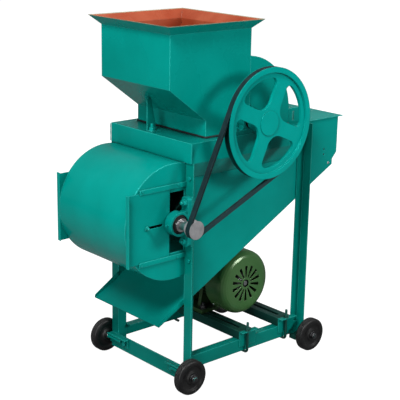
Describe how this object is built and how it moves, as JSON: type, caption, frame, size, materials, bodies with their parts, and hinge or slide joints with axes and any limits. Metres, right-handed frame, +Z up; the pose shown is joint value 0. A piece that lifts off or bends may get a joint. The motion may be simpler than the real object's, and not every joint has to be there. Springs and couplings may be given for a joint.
{
  "type": "garlic peeling machine",
  "caption": "Wheeled garlic peeling machine: flared hopper over a rotor and sieve, round air blower with sliding shutters, outlet chute, belt drives and a finned electric motor",
  "frame": {"origin": "on the floor, under the middle of the machine's overall box", "axes": "+X towards the outlet chute, -X towards the blower and spout, -Y towards the big pulley, +Z up"},
  "size_m": [0.818, 0.49, 1.012],
  "materials": {
    "teal_paint": "glossy teal enamel on sheet metal",
    "teal_frame_paint": "glossy teal enamel on angle iron",
    "teal_casting": "teal enamel on rough cast iron",
    "shutter_paint": "glossy teal enamel on thin plate",
    "dark_paint": "dark green-black paint",
    "motor_green": "olive green motor enamel",
    "orange_primer": "orange-red primer",
    "steel": "bright steel",
    "zinc": "zinc plated fasteners",
    "cast": "machined grey cast iron",
    "rubber_seal": "black rubber strip",
    "belt_rubber": "black fabric-covered belt rubber",
    "wheel_plastic": "black moulded wheel",
    "black_plastic": "black moulded plastic"
  },
  "bodies": {
    "stand": {"front_legs": "teal_frame_paint", "frame_bolts": "teal_casting", "rear_legs": "teal_frame_paint", "side_rails": "teal_frame_paint", "front_cross_rail": "teal_frame_paint", "rear_cross_rail": "teal_frame_paint", "front_stub_axles": "teal_frame_paint", "rear_stub_axles": "dark_paint", "axle_sleeves": "steel", "axle_nuts": "zinc", "motor_rails": "dark_paint", "rail_end_angles": "teal_frame_paint", "rail_hook_bolts": "dark_paint", "side_panel_near": "teal_paint", "side_panel_far": "teal_paint", "sloping_floor": "teal_paint", "chute_roof": "teal_paint", "casing": "teal_paint", "block_bolts": "teal_casting", "cover_seal": "rubber_seal", "hopper": "teal_paint", "rotor_cover": "teal_paint", "cover_lugs": "teal_paint", "hopper_stay": "teal_paint", "stay_bolts": "teal_casting", "rotor_blocks": "teal_casting", "fan_blocks": "teal_casting", "fan_block_pads": "teal_frame_paint", "fan_shell": "teal_paint", "fan_end_plates": "teal_paint", "shutter_guides": "teal_paint", "guide_screws": "teal_casting", "shutter_lock_bolts": "teal_casting", "sieve": "steel", "near_belt": "belt_rubber", "far_belt": "belt_rubber", "motor_body": "motor_green", "motor_foot_bolts": "zinc", "motor_end_shield": "motor_green", "motor_rear_shield": "motor_green", "motor_fan_cover": "motor_green", "terminal_box": "motor_green", "cable_gland": "black_plastic"},
    "rotor": {"rotor_shaft": "steel", "rotor_discs": "cast", "beater_bars": "steel", "big_pulley": "teal_casting"},
    "blower_wheel": {"fan_shaft": "steel", "fan_wheel": "dark_paint", "fan_pulley_near": "cast", "fan_pulley_far": "cast"},
    "motor_rotor": {"motor_shaft": "steel", "motor_pulley": "cast", "motor_cooling_fan": "black_plastic"},
    "front_wheel_near": {"wheel_front_near": "wheel_plastic"},
    "front_wheel_far": {"wheel_front_far": "wheel_plastic"},
    "rear_wheel_near": {"wheel_rear_near": "wheel_plastic"},
    "rear_wheel_far": {"wheel_rear_far": "wheel_plastic"},
    "shutter_near_slide": {"shutter_near": "shutter_paint"},
    "shutter_far_slide": {"shutter_far": "shutter_paint"}
  },
  "joints": [
    {"name": "rotor_spin", "type": "hinge", "parent": "stand", "child": "rotor", "pos_m": [0.011, 0, 0.7415], "axis": [0, 1, 0], "continuous": true},
    {"name": "blower_spin", "type": "hinge", "parent": "stand", "child": "blower_wheel", "pos_m": [-0.248, 0, 0.491], "axis": [0, 1, 0], "continuous": true},
    {"name": "motor_spin", "type": "hinge", "parent": "stand", "child": "motor_rotor", "pos_m": [0.106, 0, 0.213], "axis": [0, 1, 0], "continuous": true},
    {"name": "front_wheel_near_spin", "type": "hinge", "parent": "stand", "child": "front_wheel_near", "pos_m": [-0.2195, 0, 0.05], "axis": [0, 1, 0], "continuous": true},
    {"name": "front_wheel_far_spin", "type": "hinge", "parent": "stand", "child": "front_wheel_far", "pos_m": [-0.2195, 0, 0.05], "axis": [0, 1, 0], "continuous": true},
    {"name": "rear_wheel_near_spin", "type": "hinge", "parent": "stand", "child": "rear_wheel_near", "pos_m": [0.261, 0, 0.05], "axis": [0, 1, 0], "continuous": true},
    {"name": "rear_wheel_far_spin", "type": "hinge", "parent": "stand", "child": "rear_wheel_far", "pos_m": [0.261, 0, 0.05], "axis": [0, 1, 0], "continuous": true},
    {"name": "shutter_near_open", "type": "slide", "parent": "stand", "child": "shutter_near_slide", "axis": [-1, 0, 0], "range_m": [0, 0.05]},
    {"name": "shutter_far_open", "type": "slide", "parent": "stand", "child": "shutter_far_slide", "axis": [-1, 0, 0], "range_m": [0, 0.05]}
  ],
  "couplings": [
    {"joint": "blower_spin", "follows": "rotor_spin", "ratio": 6.8182},
    {"joint": "motor_spin", "follows": "rotor_spin", "ratio": 8.5227}
  ]
}
